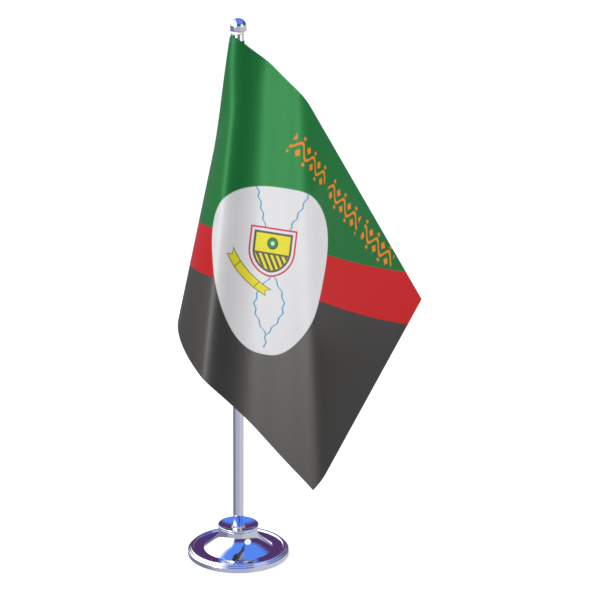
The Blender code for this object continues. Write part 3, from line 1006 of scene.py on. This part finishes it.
def build_stitches(thread):
    """Short raised stitches round the hem, on both sides of the cloth."""
    route = hem_route()
    points = []
    faces = []
    flat = []
    us = np.array([place[0] for place in route])
    vs = np.array([place[1] for place in route])
    here = cloth_at(us, vs)
    beside = cloth_at(us + CLOTH_PROBE, vs)
    below = cloth_at(us, vs + CLOTH_PROBE)
    for k, (u, v) in enumerate(route):
        along_u = Vector(beside[k] - here[k]).normalized()
        along_v = Vector(below[k] - here[k]).normalized()
        normal = along_v.cross(along_u).normalized()
        following = route[k + 1] if k + 1 < len(route) else route[k - 1]
        way = Vector((following[0] - u, following[1] - v)).normalized()
        run = (along_u * way.x + along_v * way.y).normalized()
        side = normal.cross(run)
        for face_side in (1.0, -1.0):
            lift = CLOTH_T / 2.0 if face_side > 0.0 else CLOTH_T / 2.0 + HEM_T
            centre = Vector(here[k]) + normal * face_side * lift
            first = len(points)
            for place, swell in STITCH_RINGS:
                for corner in range(STITCH_SIDES):
                    angle = 2.0 * math.pi * corner / STITCH_SIDES
                    out = side * math.cos(angle) + normal * math.sin(angle) * STITCH_FLATNESS
                    points.append(centre + run * STITCH_LENGTH * place + out * STITCH_R * swell)
                    flat.append((u, v, 0.0))
            for ring in range(len(STITCH_RINGS) - 1):
                for corner in range(STITCH_SIDES):
                    a = first + ring * STITCH_SIDES + corner
                    b = first + ring * STITCH_SIDES + (corner + 1) % STITCH_SIDES
                    faces.append((a, b, b + STITCH_SIDES, a + STITCH_SIDES))
            faces.append(tuple(first + corner for corner in reversed(range(STITCH_SIDES))))
            last = first + (len(STITCH_RINGS) - 1) * STITCH_SIDES
            faces.append(tuple(last + corner for corner in range(STITCH_SIDES)))
    stitches = add_piece("hem_stitches", points, faces, [thread], 80.0)
    add_flat_place(stitches, flat)
    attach(stitches, "flag")
    return stitches


def cloth_at(us, vs):
    """Points of the hanging cloth at these places on the flat cloth."""
    rows = np.unique(np.round(vs, 7))
    columns = np.unique(np.round(us, 7))
    grid = hanging_cloth(columns, rows)
    return grid[np.searchsorted(rows, np.round(vs, 7)), np.searchsorted(columns, np.round(us, 7))]


def build_sleeve(made):
    """The sewn sleeve: a tube of satin round the pole, pinched towards the seam that holds the flag."""
    low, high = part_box("hoist_sleeve")
    inner_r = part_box("pole_tube")[1].x + SLEEVE_CLEAR
    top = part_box("flag_cloth")[1].z - SLEEVE_TOP_DROP
    seam = math.radians(SEAM_HEADING)
    around = SLEEVE_STEPS
    points = []
    flat = []
    for wall in (0.0, SLEEVE_T):
        for k in range(SLEEVE_LEVELS + 1):
            z = low.z + (top - low.z) * k / SLEEVE_LEVELS
            for step in range(around):
                angle = 2.0 * math.pi * step / around
                off_seam = math.remainder(angle - seam, 2.0 * math.pi)
                pinch = SLEEVE_PINCH * math.exp(-((off_seam / SLEEVE_PINCH_W) ** 2))
                crease = noise.noise(Vector((math.cos(angle), math.sin(angle), z * 60.0)))
                r = inner_r + SLEEVE_SLACK * (1.0 + crease) + pinch + wall
                points.append((r * math.cos(angle), r * math.sin(angle), z))
                flat.append((0.0, high.z - z, 0.0))
    layer = (SLEEVE_LEVELS + 1) * around
    last = SLEEVE_LEVELS * around
    faces = []
    for k in range(SLEEVE_LEVELS):
        for step in range(around):
            after = (step + 1) % around
            a, b = k * around + step, k * around + after
            faces.append((a, a + around, b + around, b))
            faces.append((a + layer, b + layer, b + layer + around, a + layer + around))
    for step in range(around):
        after = (step + 1) % around
        faces.append((step, after, after + layer, step + layer))
        faces.append((last + step, last + step + layer, last + after + layer, last + after))
    sleeve = add_piece("pole_sleeve", points, faces, [made], 60.0)
    add_flat_place(sleeve, flat)
    stands_for(sleeve, "hoist_sleeve", "flag")
    return sleeve


# ---------------------------------------------------------------- setting


def build_camera():
    """A long lens in front of the stand and a little above it."""
    camera = bpy.data.objects.new("camera", bpy.data.cameras.new("camera"))
    camera.data.lens = CAMERA_LENS
    camera.data.sensor_width = CAMERA_SENSOR
    camera.data.clip_start = 0.05
    aim = Matrix.Rotation(math.radians(90.0 - CAMERA_DOWN), 4, "X")
    aim = aim @ Matrix.Rotation(math.radians(-CAMERA_RIGHT), 4, "Y")
    camera.matrix_world = Matrix.Translation(CAMERA_PLACE) @ aim
    bpy.context.scene.collection.objects.link(camera)
    bpy.context.scene.camera = camera


def add_light(name, place, target, size, power):
    """A round white area light of that size in metres and power in watts."""
    light = bpy.data.lights.new(name, "AREA")
    light.shape = "DISK"
    light.size = size
    light.energy = power
    obj = bpy.data.objects.new(name, light)
    obj.location = place
    aim = Vector(target) - Vector(place)
    obj.rotation_euler = aim.to_track_quat("-Z", "Y").to_euler()
    bpy.context.scene.collection.objects.link(obj)


def build_floor():
    """A plain pale floor, which the chrome doesn't mirror: the world stands in for it there."""
    made, tree, shader = finish(
        "pale_floor",
        Roughness=0.9,
        Specular_IOR_Level=0.1,
        Emission_Color=(1.0, 1.0, 1.0, 1.0),
        Emission_Strength=0.5,
    )
    grain = noise_at(tree, object_place(tree), 60.0, 2.0)
    shade = layered(tree, srgb(243, 243, 243), srgb(247, 247, 247), grain)
    tree.links.new(shade, shader.inputs["Base Color"])
    corners = [(x * FLOOR_HALF, y * FLOOR_HALF, 0.0) for x, y in ((-1, -1), (1, -1), (1, 1), (-1, 1))]
    floor = add_piece("floor", corners, [(0, 1, 2, 3)], [made])
    floor.location.z = -FLOOR_DROP
    floor.visible_glossy = False


def build_world():
    """Pale grey surroundings. Gloss sees its own: lilac-grey below the horizon, dusk above it,
    then a blue sky, and a bright white panel on the left.
    """
    world = bpy.data.worlds.new("studio")
    bpy.context.scene.world = world
    world.use_nodes = True
    tree = world.node_tree
    background = tree.nodes["Background"]
    direction = tree.nodes.new("ShaderNodeTexCoord").outputs["Generated"]
    split = tree.nodes.new("ShaderNodeSeparateXYZ")
    tree.links.new(direction, split.inputs[0])
    x, y, z = (Number(tree, split.outputs[k]) for k in range(3))
    low = layered(tree, srgb(132, 134, 150), srgb(184, 189, 206), (-y).ramp(0.1, 0.7))
    low = layered(tree, low, srgb(208, 208, 210), x.ramp(0.25, 0.6))
    dusk = layered(tree, low, srgb(88, 58, 110), z.ramp(0.06, 0.2))
    sky = layered(tree, dusk, srgb(96, 148, 255), z.ramp(0.42, 0.7))
    panel = (-x).ramp(0.3, 0.56) * z.ramp(0.0, 0.14) * (-z + 1.0).ramp(0.06, 0.24)
    seen = layered(tree, sky, (2.2, 2.2, 2.2, 1.0), panel)
    rays = tree.nodes.new("ShaderNodeLightPath")
    colour = layered(tree, srgb(206, 206, 207), seen, rays.outputs["Is Glossy Ray"])
    tree.links.new(colour, background.inputs["Color"])


def build_lights():
    """A key light low at the front left, to which the satin's folds turn, and a weak fill on the right."""
    target = (0.02, -0.05, 0.19)
    add_light("key", (-0.95, -0.87, 0.46), target, 0.5, 15.0)
    add_light("fill", (0.9, -0.6, 0.6), target, 0.8, 1.5)


def main():
    """Builds the pieces, gives the CAD nodes that stay their materials, and sets the stage."""
    bpy.context.scene.view_settings.view_transform = "Standard"
    build_camera()
    metal, plastic = chrome(), nylon()
    build_shell(metal)
    build_cup(metal)
    build_liner(plastic)
    build_felt(felt())
    build_pole(metal, plastic)
    build_finial(metal)
    front, back = satin("satin_face", 0.0), satin("satin_back", 0.05)
    flag = build_flag(front, back)
    stitches = build_stitches(front)
    sleeve = build_sleeve(front)
    zinc = zinc_steel()
    for node, made in (
        ("ballast_ring", cast_iron()),
        ("clamp_washer", zinc),
        ("clamp_nut", zinc),
        ("finial_pin", zinc),
        ("bottom_plate", black_lacquer()),
    ):
        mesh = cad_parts[node].data
        mesh.materials.clear()
        mesh.materials.append(made)
    build_floor()
    build_world()
    build_lights()


main()
